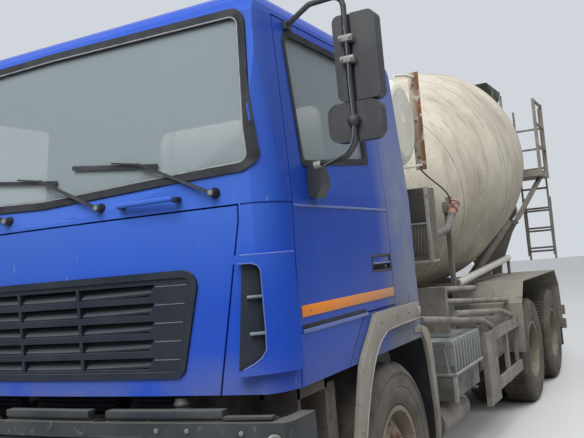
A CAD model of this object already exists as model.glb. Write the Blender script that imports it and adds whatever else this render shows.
import bpy
import bmesh
import math
from mathutils import Matrix, Vector


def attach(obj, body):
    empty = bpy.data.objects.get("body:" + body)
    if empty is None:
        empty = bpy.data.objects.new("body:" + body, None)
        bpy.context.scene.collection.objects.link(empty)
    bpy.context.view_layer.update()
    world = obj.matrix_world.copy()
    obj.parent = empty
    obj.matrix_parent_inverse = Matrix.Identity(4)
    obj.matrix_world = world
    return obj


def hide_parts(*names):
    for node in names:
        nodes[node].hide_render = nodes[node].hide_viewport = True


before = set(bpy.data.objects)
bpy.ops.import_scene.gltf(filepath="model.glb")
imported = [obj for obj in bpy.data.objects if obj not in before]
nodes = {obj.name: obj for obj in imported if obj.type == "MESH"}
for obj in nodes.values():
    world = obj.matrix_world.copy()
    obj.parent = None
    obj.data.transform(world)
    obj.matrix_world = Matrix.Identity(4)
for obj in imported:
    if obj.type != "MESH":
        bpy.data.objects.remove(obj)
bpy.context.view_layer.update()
print("frame loaded")

# Camera, at the photograph's own angle, with the frame 584 px wide

cameraView = {
    "place": (7.105, 2.69, 1.686),
    "yaw": 27.088,
    "pitch": 3.231,
    "roll": 5.065,
    "focalPixels": 747.84,
    "framePixels": 584,
    "sensor": 36.0,
    "clip": (0.05, 200.0),
}


def addCamera(view):
    yaw, pitch, roll = (math.radians(view[key]) for key in ("yaw", "pitch", "roll"))
    ahead = Vector((-math.cos(yaw) * math.cos(pitch), -math.sin(yaw) * math.cos(pitch), math.sin(pitch)))
    right = Vector((-math.sin(yaw), math.cos(yaw), 0))
    up = right.cross(ahead)
    across = right * math.cos(roll) - up * math.sin(roll)
    upward = right * math.sin(roll) + up * math.cos(roll)
    bpy.ops.object.camera_add()
    camera = bpy.context.object
    camera.name = "photoCamera"
    camera.matrix_world = Matrix([(across[i], upward[i], -ahead[i], view["place"][i]) for i in range(3)]
                                 + [(0, 0, 0, 1)])
    camera.data.sensor_width = view["sensor"]
    camera.data.lens = view["focalPixels"] / view["framePixels"] * view["sensor"]
    camera.data.clip_start, camera.data.clip_end = view["clip"]
    bpy.context.scene.camera = camera


addCamera(cameraView)
print("camera placed")

# Materials: a base colour with weathering laid over it in layers

look = {}
pattern = {
    "roughness": 0.6,
    "layerShift": 3.1,
    "shiftY": 0.7,
    "shiftZ": 1.3,
    "bumpDetail": 6.0,
    "coatRough": 0.06,
}


def addNode(tree, kind, values=None, **settings):
    # Values go to the node's inputs, as links where they come from another node
    made = tree.nodes.new(kind)
    for key, value in settings.items():
        setattr(made, key, value)
    for key, value in (values or {}).items():
        if isinstance(value, bpy.types.NodeSocket):
            tree.links.new(value, made.inputs[key])
        else:
            made.inputs[key].default_value = value
    return made


def spread(tree, value, low, high):
    # 0 at low, 1 at high, clamped
    return addNode(tree, "ShaderNodeMapRange", {"Value": value, "From Min": low, "From Max": high}).outputs[0]


def times(tree, a, b):
    return addNode(tree, "ShaderNodeMath", {0: a, 1: b}, operation="MULTIPLY").outputs[0]


def mixed(tree, share, first, second):
    # Mixes two colours, which are the node's inputs 6 and 7 and its output 2
    return addNode(tree, "ShaderNodeMix", {"Factor": share, 6: first, 7: second}, data_type="RGBA").outputs[2]


def grain(tree, place, scale, stretch=(1, 1, 1), detail=4.0, offset=0.0):
    shift = (offset, offset * pattern["shiftY"], offset * pattern["shiftZ"])
    mapped = addNode(tree, "ShaderNodeMapping", {"Vector": place, "Scale": stretch, "Location": shift})
    return addNode(tree, "ShaderNodeTexNoise", {"Vector": mapped.outputs[0], "Scale": scale, "Detail": detail,
                                                "Roughness": pattern["roughness"]}).outputs["Fac"]


def wear(colour, scale=None, edge=None, strength=1.0, rough=None, stretch=(1, 1, 1), along=(), facing=None):
    # A layer of dirt or bleaching: it fades in between two noise values, and between two places on an axis
    # or two turns of the faces where along or facing names them
    return {"colour": colour, "scale": scale, "edge": edge, "strength": strength, "rough": rough,
            "stretch": stretch, "along": along, "facing": facing}


def layerMask(tree, place, layer, number):
    mask = layer["strength"]
    if layer["scale"]:
        noise = grain(tree, place, layer["scale"], layer["stretch"], offset=pattern["layerShift"] * number)
        mask = times(tree, spread(tree, noise, *layer["edge"]), mask)
    if layer["along"]:
        axes = addNode(tree, "ShaderNodeSeparateXYZ", {"Vector": place}).outputs
        for axis, low, high in layer["along"]:
            mask = times(tree, spread(tree, axes["XYZ".index(axis)], low, high), mask)
    if layer["facing"]:
        normal = addNode(tree, "ShaderNodeNewGeometry").outputs["Normal"]
        ways = addNode(tree, "ShaderNodeSeparateXYZ", {"Vector": normal}).outputs
        axis, low, high = layer["facing"]
        mask = times(tree, spread(tree, ways["XYZ".index(axis)], low, high), mask)
    return mask


def finish(name, base, rough=0.5, metallic=0.0, coat=0.0, layers=(), bump=None, specular=0.5, alpha=1.0):
    material = bpy.data.materials.new(name)
    material.use_nodes = True
    tree = material.node_tree
    shader = tree.nodes["Principled BSDF"]
    for socket, value in {"Metallic": metallic, "Coat Weight": coat, "Coat Roughness": pattern["coatRough"],
                          "Specular IOR Level": specular, "Base Color": (*base, 1), "Roughness": rough,
                          "Alpha": alpha}.items():
        shader.inputs[socket].default_value = value
    if layers or bump:
        place = addNode(tree, "ShaderNodeTexCoord").outputs["Object"]
    colour, roughness = (*base, 1), rough
    for number, layer in enumerate(layers):
        mask = layerMask(tree, place, layer, number)
        colour = mixed(tree, mask, colour, (*layer["colour"], 1))
        if layer["rough"]:
            roughness = addNode(tree, "ShaderNodeMix", {0: mask, 2: roughness, 3: layer["rough"]},
                                data_type="FLOAT").outputs[0]
    if layers:
        tree.links.new(colour, shader.inputs["Base Color"])
    if isinstance(roughness, bpy.types.NodeSocket):
        tree.links.new(roughness, shader.inputs["Roughness"])
    if bump:
        scale, strength, distance = bump
        height = grain(tree, place, scale, detail=pattern["bumpDetail"])
        raised = addNode(tree, "ShaderNodeBump", {"Height": height, "Strength": strength,
                                                  "Distance": distance})
        tree.links.new(raised.outputs[0], shader.inputs["Normal"])
    look[name] = material
    return material


dust = (0.23, 0.20, 0.165)
mud = (0.085, 0.066, 0.05)
rust = (0.16, 0.055, 0.02)
cement = (0.42, 0.40, 0.36)
roadDirt = [
    wear(dust, 3.0, (0.3, 0.62), 0.85, rough=0.95),
    wear(mud, 9.0, (0.58, 0.7), 0.7, rough=0.95),
]
cabDirt = [
    wear((0.060, 0.145, 0.52), 0.9, (0.0, 0.3), 0.75, rough=0.3,
         along=[("X", 4.25, 4.42), ("Z", 1.50, 1.95)]),
    wear((0.055, 0.105, 0.33), 1.6, (0.42, 0.75), 0.30, rough=0.4),
    wear((0.26, 0.28, 0.33), 1.7, (0.10, 0.45), 0.9, rough=0.85,
         along=[("X", 3.20, 2.90), ("Z", 3.3, 1.9)]),
    wear((0.17, 0.18, 0.22), 3.0, (0.22, 0.60), 0.9, rough=0.9, stretch=(1, 1, 0.5),
         along=[("X", 3.75, 3.05), ("Z", 1.75, 1.30)]),
    wear((0.15, 0.155, 0.18), 3.0, (0.25, 0.65), 0.6, rough=0.9, along=[("Z", 1.34, 1.12)]),
    wear((0.16, 0.22, 0.42), 30.0, (0.68, 0.72), 0.5, rough=0.6, stretch=(1, 1, 0.3)),
    wear((0.010, 0.014, 0.05), 19.0, (0.66, 0.70), 0.7, rough=0.6, stretch=(1, 1, 0.25),
         along=[("Z", 1.8, 1.5), ("X", 3.8, 3.4)]),
    wear((0.12, 0.17, 0.34), 2.0, (0.2, 0.7), 0.5, rough=0.8, facing=("Z", 0.7, 1.0)),
    wear((0.09, 0.085, 0.08), rough=0.9, along=[("Z", 1.1495, 1.1475)]),
]

finish("cabBlue", (0.010, 0.060, 0.42), 0.30, coat=0.05, specular=0.14, layers=cabDirt)
finish("creasePaint", (0.09, 0.14, 0.42), 0.40, coat=0.1, layers=[
    wear((0.25, 0.27, 0.33), 4, (0.2, 0.6), 0.8, rough=0.85, along=[("X", 3.9, 3.1)])])
finish("stripeOrange", (0.80, 0.24, 0.012), 0.45, layers=[
    wear((0.52, 0.29, 0.17), 3, (0.05, 0.5), 0.9, rough=0.85, along=[("X", 4.0, 3.1)]),
    wear((0.30, 0.11, 0.02), 24, (0.64, 0.70), 0.7)])
finish("gapBlack", (0.006, 0.007, 0.009), 0.8, layers=[
    wear((0.03, 0.03, 0.03), 9, (0.5, 0.7), 0.6)])
finish("zincSteel", (0.22, 0.22, 0.21), 0.5, metallic=0.3, layers=[
    wear((0.20, 0.17, 0.13), 40, (0.52, 0.66), 0.7, rough=0.85)])
finish("nutSteel", (0.20, 0.155, 0.115), 0.8, metallic=0.1, layers=[
    wear(rust, 30, (0.45, 0.62), 0.7, rough=0.95)])
finish("beadGrey", (0.26, 0.27, 0.28), 0.6, layers=[
    wear((0.10, 0.10, 0.10), 20, (0.5, 0.7), 0.7)])
finish("slatePale", (0.13, 0.16, 0.20), 0.5, layers=[
    wear((0.05, 0.06, 0.07), 12, (0.45, 0.7), 0.7)])
finish("mirrorFace", (0.75, 0.77, 0.78), 0.06, metallic=1.0, layers=[
    wear((0.45, 0.44, 0.42), 6, (0.55, 0.8), 0.3, rough=0.4)])
finish("edgePale", (0.33, 0.31, 0.28), 0.7, layers=[
    wear((0.17, 0.15, 0.13), 9, (0.5, 0.7), 0.7),
    wear(rust, 21, (0.64, 0.70), 0.6)])
finish("wellBrown", (0.085, 0.070, 0.058), 0.85, layers=[
    wear((0.150, 0.125, 0.104), 4, (0.35, 0.7), 0.7),
    wear((0.02, 0.018, 0.017), 13, (0.5, 0.7), 0.6)])
finish("bellowsRubber", (0.045, 0.045, 0.045), 0.6, layers=[
    wear((0.09, 0.085, 0.08), 12, (0.45, 0.65), 0.6)])
finish("lampRose", (0.42, 0.24, 0.20), 0.4, layers=[
    wear((0.34, 0.31, 0.28), 14, (0.4, 0.6), 0.75, rough=0.8)])
finish("lampRed", (0.42, 0.012, 0.010), 0.25, layers=[
    wear((0.25, 0.19, 0.15), 10, (0.45, 0.7), 0.6, rough=0.8)])
finish("lampAmber", (0.62, 0.20, 0.01), 0.25, layers=[
    wear((0.30, 0.22, 0.15), 10, (0.45, 0.7), 0.6, rough=0.8)])
finish("flapRubber", (0.028, 0.027, 0.026), 0.85, layers=[
    wear((0.16, 0.14, 0.115), 5, (0.3, 0.7), 0.7)])
finish("seamCream", (0.38, 0.34, 0.27), 0.8, layers=[
    wear((0.20, 0.17, 0.135), 6, (0.45, 0.65), 0.8),
    wear((0.52, 0.48, 0.40), 3, (0.5, 0.7), 0.7)])
finish("finGrey", (0.17, 0.165, 0.155), 0.6, layers=[
    wear((0.06, 0.055, 0.05), 14, (0.45, 0.7), 0.7)])
finish("coolerDark", (0.050, 0.047, 0.043), 0.75, layers=[
    wear((0.12, 0.105, 0.09), 3, (0.4, 0.75), 0.6)])
finish("couplingRose", (0.36, 0.17, 0.135), 0.7, layers=[
    wear((0.055, 0.045, 0.04), 26, (0.50, 0.60), 0.9),
    wear((0.45, 0.33, 0.27), 12, (0.5, 0.7), 0.7)])
finish("leadPale", (0.16, 0.17, 0.17), 0.6, layers=[
    wear((0.15, 0.15, 0.14), 30, (0.5, 0.65), 0.6)])
finish("fenderDust", (0.26, 0.235, 0.20), 0.85, layers=[
    wear((0.07, 0.06, 0.05), 5, (0.3, 0.7), rough=0.9, along=[("Z", 0.9, 0.5)]),
    wear((0.36, 0.34, 0.30), 3.5, (0.45, 0.7), 0.6),
    wear(mud, 14, (0.62, 0.7), 0.6)])
finish("slatePlastic", (0.012, 0.017, 0.028), 0.5, specular=0.2, layers=[
    wear((0.035, 0.040, 0.048), 4, (0.4, 0.75), 0.5, rough=0.75),
    wear((0.15, 0.16, 0.17), strength=0.6, rough=0.9, facing=("Z", 0.5, 1.0))])
finish("bumperPlastic", (0.020, 0.025, 0.030), 0.5, specular=0.3, layers=[
    wear((0.080, 0.084, 0.085), 3, (0.40, 0.75), 0.5, rough=0.85),
    wear((0.13, 0.125, 0.11), strength=0.7, rough=0.95, facing=("Z", 0.5, 1.0)),
    wear((0.15, 0.135, 0.11), 26, (0.62, 0.68), 0.5, rough=0.95)])
finish("blackPlastic", (0.018, 0.02, 0.023), 0.5, layers=[
    wear((0.12, 0.12, 0.12), 5, (0.45, 0.8), 0.4, rough=0.8)])
finish("rubberSeal", (0.011, 0.013, 0.017), 0.6, specular=0.25, layers=[
    wear((0.050, 0.052, 0.054), 8, (0.4, 0.7), 0.5)])
finish("frameBlack", (0.03, 0.027, 0.024), 0.7, layers=roadDirt)
finish("dustySteel", (0.16, 0.14, 0.12), 0.75, layers=[
    wear((0.32, 0.29, 0.25), 4, (0.35, 0.65), 0.8, rough=0.9),
    wear(rust, 11, (0.6, 0.68), 0.55, rough=0.95)])
finish("batteryGrey", (0.20, 0.215, 0.21), 0.6, layers=[
    wear((0.44, 0.47, 0.48), strength=0.9, rough=0.8, facing=("Z", 0.4, 0.9)),
    wear((0.055, 0.05, 0.045), 5, (0.15, 0.5), 0.8, rough=0.9, along=[("Z", 0.83, 0.70)]),
    wear((0.25, 0.24, 0.22), 4, (0.4, 0.7), 0.7, rough=0.9),
    wear((0.13, 0.11, 0.09), 12, (0.62, 0.7), 0.6, rough=0.9)])
finish("castDark", (0.045, 0.04, 0.035), 0.8, layers=roadDirt)
finish("tyreRubber", (0.045, 0.042, 0.038), 0.85, layers=[
    wear((0.17, 0.145, 0.115), 6, (0.3, 0.65), 0.75, rough=0.95),
    wear((0.10, 0.08, 0.062), 22, (0.5, 0.7), 0.6)])
finish("wheelDust", (0.20, 0.165, 0.13), 0.85, layers=[
    wear((0.31, 0.265, 0.21), 7, (0.4, 0.65), 0.7),
    wear(rust, 13, (0.56, 0.68), 0.65)])
finish("drumCream", (0.56, 0.51, 0.41), 0.7, layers=[
    wear((0.36, 0.31, 0.24), 1.7, (0.4, 0.7), 0.75, rough=0.85, stretch=(1, 1, 0.8)),
    wear((0.27, 0.24, 0.20), 7, (0.52, 0.72), 0.65, rough=0.9, stretch=(1.6, 1, 0.28)),
    wear((0.17, 0.14, 0.11), 3, (0.3, 0.75), 0.75, rough=0.95, along=[("Z", 2.5, 1.4)]),
    wear((0.10, 0.085, 0.07), 24, (0.67, 0.72), 0.8, stretch=(1, 1, 0.5)),
    wear((0.66, 0.63, 0.55), 4, (0.62, 0.75), 0.6)])
finish("tankCream", (0.66, 0.64, 0.55), 0.45, coat=0.2, layers=[
    wear((0.42, 0.38, 0.30), 3, (0.5, 0.75), 0.5, rough=0.85, stretch=(1, 1, 0.3)),
    wear(rust, 16, (0.68, 0.73), 0.6, rough=0.95)])
finish("rustyBracket", (0.50, 0.46, 0.39), 0.7, bump=(60, 0.4, 0.002), layers=[
    wear((0.30, 0.25, 0.19), 4, (0.45, 0.7), 0.7),
    wear((0.19, 0.085, 0.042), 13, (0.40, 0.47), rough=0.95, along=[("Y", 0.965, 1.020)]),
    wear((0.19, 0.085, 0.042), 13, (0.40, 0.47), rough=0.95, along=[("Y", -0.965, -1.020)]),
    wear((0.14, 0.052, 0.022), 18, (0.60, 0.68), 0.8, rough=0.95)])
finish("hoseGrey", (0.20, 0.19, 0.17), 0.8, layers=[
    wear((0.09, 0.08, 0.07), 14, (0.5, 0.65), 0.7)])
finish("hopperGreen", (0.045, 0.06, 0.05), 0.65, layers=[
    wear(cement, 6, (0.56, 0.66), 0.7, rough=0.95, stretch=(1, 1, 0.3)),
    wear((0.11, 0.045, 0.02), 12, (0.62, 0.7), 0.6)])
finish("chuteCement", (0.13, 0.12, 0.105), 0.8, bump=(40, 0.5, 0.004), layers=[
    wear(cement, 5, (0.42, 0.62), 0.85, rough=0.95),
    wear(rust, 13, (0.6, 0.68), 0.7)])
finish("innerTrim", (0.24, 0.27, 0.26), 0.75, bump=(220, 0.15, 0.001), layers=[
    wear((0.15, 0.165, 0.16), 5, (0.4, 0.7), 0.5, rough=0.9),
    wear((0.36, 0.36, 0.33), 9, (0.3, 0.6), 0.5, facing=("Z", 0.5, 1.0))])
finish("seatCloth", (0.035, 0.038, 0.045), 0.95, bump=(260, 0.3, 0.001), layers=[
    wear((0.085, 0.088, 0.10), 160, (0.45, 0.6), 0.6, stretch=(1, 1, 3)),
    wear((0.13, 0.12, 0.11), 6, (0.55, 0.75), 0.4)])
finish("cabGlass", (0.36, 0.42, 0.44), 0.04, alpha=0.42)
finish("lampGlass", (0.75, 0.78, 0.8), 0.05, alpha=0.5)

dress = {
    "frameBlack": "frame_rails front_pedestal subframe chute_turret oil_cooler",
    "bumperPlastic": "bumper",
    "lampGlass": "headlamps",
    "castDark": "front_axle rear_axles engine driveshafts knuckle_left knuckle_right",
    "dustySteel": "fuel_tank air_tanks side_guards handrails rear_pedestal platform underrun",
    "batteryGrey": "battery_box air_cleaner",
    "fenderDust": "rear_fenders cab_fenders mudguards",
    "tankCream": "water_tank",
    "rustyBracket": "tank_bracket",
    "hoseGrey": "hydraulic_hose",
    "hopperGreen": "hopper",
    "chuteCement": "funnel chute chute_extension",
    "cabBlue": "cab_shell deflectors hood_panel door_left door_right",
    "cabGlass": "cab_glass door_glass_left door_glass_right",
    "innerTrim": "dashboard",
    "seatCloth": "seats",
    "slatePlastic": "grille",
    "blackPlastic": "wipers mirrors_left mirrors_right",
    "tyreRubber": "tyre_front_left tyre_front_right tyres_mid_left tyres_mid_right tyres_rear_left"
                  " tyres_rear_right",
    "wheelDust": "rim_front_left rim_front_right rims_mid_left rims_mid_right rims_rear_left rims_rear_right",
    "drumCream": "drum",
}
for material, names in dress.items():
    for name in names.split():
        node = nodes[name]
        node.data.materials.clear()
        node.data.materials.append(look[material])
print("materials given to the frame's nodes")

# Modelling helpers


def fresh(piece=None):
    if bpy.context.mode != "OBJECT":
        bpy.ops.object.mode_set(mode="OBJECT")
    bpy.ops.object.select_all(action="DESELECT")
    if piece:
        piece.select_set(True)
        bpy.context.view_layer.objects.active = piece


def pick(piece, test, kind="faces"):
    # Enters edit mode with only the parts selected that pass the test
    fresh(piece)
    bpy.ops.object.mode_set(mode="EDIT")
    bpy.ops.mesh.select_mode(type={"faces": "FACE", "edges": "EDGE", "verts": "VERT"}[kind])
    bpy.ops.mesh.select_all(action="DESELECT")
    mesh = bmesh.from_edit_mesh(piece.data)
    for part in getattr(mesh, kind):
        if test(part):
            part.select_set(True)
    mesh.select_flush_mode()
    bmesh.update_edit_mesh(piece.data)


def cleaned(piece):
    pick(piece, lambda face: True)
    bpy.ops.mesh.remove_doubles(threshold=0.00002)
    bpy.ops.mesh.normals_make_consistent(inside=False)
    bpy.ops.object.mode_set(mode="OBJECT")
    return piece


def finished(piece, kind, **settings):
    # Adds one modifier and applies it
    fresh(piece)
    modifier = piece.modifiers.new(kind.title(), kind)
    for key, value in settings.items():
        setattr(modifier, key, value)
    bpy.ops.object.modifier_apply(modifier=modifier.name)
    return piece


def settle(piece, body, material, angle=35):
    fresh(piece)
    bpy.ops.object.transform_apply(location=True, rotation=True, scale=True)
    bpy.ops.object.shade_smooth_by_angle(angle=math.radians(angle))
    piece.data.name = piece.name
    piece.data.materials.clear()
    piece.data.materials.append(look[material])
    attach(piece, body)
    return piece


def opposite(piece):
    # The same piece on the truck's right side
    fresh(piece)
    bpy.ops.object.duplicate()
    other = bpy.context.object
    other.name = piece.name.replace("Left", "Right")
    other.scale = (1, -1, 1)
    bpy.ops.object.transform_apply(location=True, rotation=True, scale=True)
    return cleaned(other)


def pair(piece, body, material, angle=35):
    # Settles a left piece and its copy on the right side
    other = opposite(piece)
    settle(piece, body, material, angle)
    settle(other, body.replace("left", "right"), material, angle)


def joined(name, parts):
    fresh(parts[0])
    for part in parts[1:]:
        part.select_set(True)
    if len(parts) > 1:
        bpy.ops.object.join()
    parts[0].name = name
    return parts[0]


def copied(piece, move):
    fresh(piece)
    bpy.ops.object.duplicate()
    other = bpy.context.object
    bpy.ops.transform.translate(value=move)
    return other


def block(name, low, high, bevel=0.002, segments=2):
    fresh()
    middle = [(a + b) / 2 for a, b in zip(low, high)]
    bpy.ops.mesh.primitive_cube_add(size=1, location=middle)
    piece = bpy.context.object
    piece.name = name
    piece.scale = [b - a for a, b in zip(low, high)]
    bpy.ops.object.transform_apply(location=True, rotation=True, scale=True)
    pick(piece, lambda face: True)
    bpy.ops.mesh.bevel(offset=bevel, segments=segments, affect="EDGES")
    bpy.ops.object.mode_set(mode="OBJECT")
    return piece


def turned(name, profile, centre, axis, steps=48, start=None, sweep=360):
    # A closed profile of radius and distance along the axis, spun round the axis
    fresh()
    along = Vector(axis).normalized()
    out = Vector(start).normalized() if start else along.orthogonal().normalized()
    bpy.ops.mesh.primitive_circle_add(vertices=len(profile), fill_type="NOTHING", location=(0, 0, 0))
    piece = bpy.context.object
    piece.name = name
    for corner, (radius, shift) in zip(piece.data.vertices, profile):
        corner.co = Vector(centre) + out * radius + along * shift
    pick(piece, lambda edge: True, "edges")
    bpy.ops.mesh.spin(steps=steps, angle=-math.radians(sweep), center=centre, axis=along)
    if sweep < 360:
        bpy.ops.mesh.select_all(action="SELECT")
        bpy.ops.mesh.fill_holes(sides=0)
    return cleaned(piece)


def pipe(name, points, radius, sides=3, soft=False, loop=False):
    fresh()
    bpy.ops.curve.primitive_bezier_curve_add(location=(0, 0, 0))
    data = bpy.context.object.data
    data.dimensions = "3D"
    data.splines.clear()
    spline = data.splines.new("NURBS" if soft else "POLY")
    spline.points.add(len(points) - 1)
    for point, place in zip(spline.points, points):
        point.co = (*place, 1)
    spline.use_cyclic_u = loop
    if soft:
        spline.order_u = 4
        spline.use_endpoint_u = not loop
        spline.resolution_u = 6
    data.bevel_depth = radius
    data.bevel_resolution = sides
    data.use_fill_caps = True
    bpy.ops.object.convert(target="MESH")
    piece = bpy.context.object
    piece.name = name
    return cleaned(piece)


def band(name, outer, inner, thick):
    # A strip between two outlines of as many points each, given a thickness inwards
    fresh()
    bpy.ops.mesh.primitive_circle_add(vertices=len(outer), fill_type="NOTHING", location=(0, 0, 0))
    piece = bpy.context.object
    piece.name = name
    for corner, place in zip(piece.data.vertices, outer):
        corner.co = place
    pick(piece, lambda edge: True, "edges")
    bpy.ops.mesh.extrude_edges_move()
    bpy.ops.object.mode_set(mode="OBJECT")
    where = {tuple(round(v, 5) for v in place): i for i, place in enumerate(outer)}
    for corner in list(piece.data.vertices)[len(outer):]:
        corner.co = inner[where[tuple(round(v, 5) for v in corner.co)]]
    finished(piece, "SOLIDIFY", thickness=thick, offset=0)
    return cleaned(piece)


def boltSet(name, places, axis, size, tall):
    # Hexagon heads, modelled once and copied to each place
    fresh()
    turn = Vector(axis).to_track_quat("Z", "Y").to_euler()
    bpy.ops.mesh.primitive_cylinder_add(vertices=6, radius=size, depth=tall, location=(0, 0, 0))
    head = bpy.context.object
    pick(head, lambda face: face.normal.z > 0.9)
    bpy.ops.mesh.inset(thickness=size * 0.16, depth=tall * 0.1)
    bpy.ops.mesh.inset(thickness=size * 0.34, depth=0)
    bpy.ops.mesh.extrude_region_move(TRANSFORM_OT_translate={"value": (0, 0, tall * 0.35)})
    bpy.ops.object.mode_set(mode="OBJECT")
    heads = []
    for place in places:
        fresh(head)
        bpy.ops.object.duplicate()
        other = bpy.context.object
        other.rotation_euler = turn
        other.location = place
        heads.append(other)
    bpy.data.objects.remove(head)
    for other in heads:
        fresh(other)
        bpy.ops.object.transform_apply(location=True, rotation=True, scale=True)
    return joined(name, heads)


def onCircle(centre, axis, radius, count, turn=0):
    along = Vector(axis).normalized()
    first = along.orthogonal().normalized()
    second = along.cross(first)
    angles = [turn + math.tau * i / count for i in range(count)]
    return [Vector(centre) + radius * (math.cos(a) * first + math.sin(a) * second) for a in angles]


def plank(name, outline, low, high, bevel=0.002, axis="z"):
    # A flat outline of its other two coordinates, pulled straight along one axis into a solid
    fresh()
    order = {"z": lambda x, y: (x, y, low), "y": lambda x, z: (x, low, z),
             "x": lambda y, z: (low, y, z)}[axis]
    step = {"z": (0, 0, high - low), "y": (0, high - low, 0), "x": (high - low, 0, 0)}[axis]
    bpy.ops.mesh.primitive_circle_add(vertices=len(outline), fill_type="NGON", location=(0, 0, 0))
    piece = bpy.context.object
    piece.name = name
    for corner, place in zip(piece.data.vertices, outline):
        corner.co = order(*place)
    pick(piece, lambda face: True)
    bpy.ops.mesh.extrude_region_move(TRANSFORM_OT_translate={"value": step})
    cleaned(piece)
    if bevel:
        finished(piece, "BEVEL", width=bevel, segments=2, limit_method="ANGLE", angle_limit=math.radians(40))
    return piece


def sheetOf(name, rows, thick):
    # A thin plate through rows of places, each row with as many places
    fresh()
    bpy.ops.mesh.primitive_grid_add(x_subdivisions=len(rows) - 1, y_subdivisions=len(rows[0]) - 1,
                                    location=(0, 0, 0))
    piece = bpy.context.object
    piece.name = name
    ordered = sorted(piece.data.vertices, key=lambda corner: (round(corner.co.x, 4), round(corner.co.y, 4)))
    for corner, place in zip(ordered, [place for row in rows for place in row]):
        corner.co = place
    return finished(piece, "SOLIDIFY", thickness=thick, offset=0)


# Tyres: one treaded tyre, spun from its section and copied to all ten places

tyre = {
    "radius": 0.5375,
    "treadDeep": 0.011,
    "treadNear": 0.003,
    "ringNear": 0.0005,
    "steps": 84,
    "half": 0.152,
    "section": [(0.286, 0.040), (0.297, 0.026), (0.312, 0.013), (0.322, 0.012), (0.336, 0.004), (0.362, 0),
                (0.392, 0), (0.396, 0.003), (0.402, 0.003), (0.406, 0), (0.440, 0), (0.452, 0.002),
                (0.456, 0.005), (0.474, 0.004), (0.480, 0), (0.494, 0.003), (0.508, 0.011), (0.5195, 0.024)],
    "ribs": (-0.116, -0.070, -0.0235, 0.0235, 0.070, 0.116),
    "gap": 0.0045,
    "height": 0.538,
    "frontX": 3.145,
    "frontY": 1.068,
    "axles": {"mid": -1.135, "rear": -2.545},
    "twinY": (1.076, 0.730),
}


def makeTyre(values):
    base = values["radius"] - values["treadDeep"]
    floor = base - values["treadNear"]
    side = [(radius, values["half"] - inset) for radius, inset in values["section"]]
    profile = side + [(base, y) for y in reversed(values["ribs"])] + [(r, -y) for r, y in reversed(side)]
    piece = turned("treadedTyre", profile, (0, 0, 0), (0, 1, 0), values["steps"])
    # Every second ring of tread corners is turned by half a block, so that the cuts run slanted
    turn = math.pi / values["steps"]
    for place in values["ribs"][1::2]:
        pick(piece, lambda v: abs(v.co.y - place) < values["ringNear"] and v.co.xz.length > floor, "verts")
        bpy.ops.transform.rotate(value=turn, orient_axis="Y", center_override=(0, 0, 0))
    pick(piece, lambda f: f.calc_center_median().xz.length > floor
         and abs(f.calc_center_median().y) < values["ribs"][-1])
    bpy.ops.mesh.inset(thickness=values["gap"], use_individual=True)
    bpy.ops.mesh.extrude_faces_move(TRANSFORM_OT_shrink_fatten={"value": values["treadDeep"]})
    bpy.ops.object.mode_set(mode="OBJECT")
    return piece


def placeTyre(first, x, y):
    fresh(first)
    bpy.ops.object.duplicate()
    other = bpy.context.object
    other.location = (x, y, tyre["height"])
    bpy.ops.object.transform_apply(location=True, rotation=True, scale=True)
    return other


firstTyre = makeTyre(tyre)
for side, sign in (("left", 1), ("right", -1)):
    front = placeTyre(firstTyre, tyre["frontX"], sign * tyre["frontY"])
    front.name = "tyreFront" + side.title()
    settle(front, "wheel_front_" + side, "tyreRubber", 28)
    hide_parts("tyre_front_" + side)
    for axle, x in tyre["axles"].items():
        twins = joined("tyres" + axle.title() + side.title(),
                       [placeTyre(firstTyre, x, sign * y) for y in tyre["twinY"]])
        settle(twins, "wheels_" + axle + "_" + side, "tyreRubber", 28)
        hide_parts("tyres_" + axle + "_" + side)
bpy.data.objects.remove(firstTyre)
print("tyres made")

# Wheel nuts and hub caps: count, size and height of a kind of head, radius and distance out of its ring

wheelTrim = {
    "nut": (10, 0.0165, 0.022),
    "flangeHead": (8, 0.011, 0.013),
    "frontNuts": (0.138, 1.1795),
    "frontCapOut": 1.219,
    "frontCap": [(0, 0), (0.078, 0), (0.078, 0.004), (0.072, 0.007), (0.052, 0.0085), (0.046, 0.006),
                 (0.018, 0.006), (0.015, 0.0095), (0, 0.0095)],
    "twinNuts": (0.150, 0.9300),
    "twinFlange": (0.098, 1.113),
    "twinRingOut": 1.109,
    "twinRing": [(0.060, 0), (0.117, 0), (0.117, 0.006), (0.110, 0.010), (0.068, 0.010), (0.060, 0.004)],
}


def wheelHeads(name, x, sign, ring, kind):
    radius, out = wheelTrim[ring]
    count, size, tall = wheelTrim[kind]
    places = onCircle((x, sign * out, tyre["height"]), (0, sign, 0), radius, count)
    return boltSet(name, places, (0, sign, 0), size, tall)


for side, sign in (("left", 1), ("right", -1)):
    settle(wheelHeads("frontNuts" + side.title(), tyre["frontX"], sign, "frontNuts", "nut"),
           "wheel_front_" + side, "nutSteel", 20)
    cap = turned("frontHubCap" + side.title(), wheelTrim["frontCap"],
                 (tyre["frontX"], sign * wheelTrim["frontCapOut"], tyre["height"]), (0, sign, 0), 32)
    settle(cap, "wheel_front_" + side, "wheelDust", 30)
    for axle, x in tyre["axles"].items():
        nuts = wheelHeads("twinNuts", x, sign, "twinNuts", "nut")
        flange = wheelHeads("twinFlange", x, sign, "twinFlange", "flangeHead")
        ring = turned("twinHubRing", wheelTrim["twinRing"],
                      (x, sign * wheelTrim["twinRingOut"], tyre["height"]), (0, sign, 0), 32)
        settle(joined(axle + "WheelNuts" + side.title(), [nuts, flange, ring]), "wheels_" + axle + "_" + side,
               "nutSteel", 25)
print("wheel nuts made")

# The cab's own face and sides, which its trim follows

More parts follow.
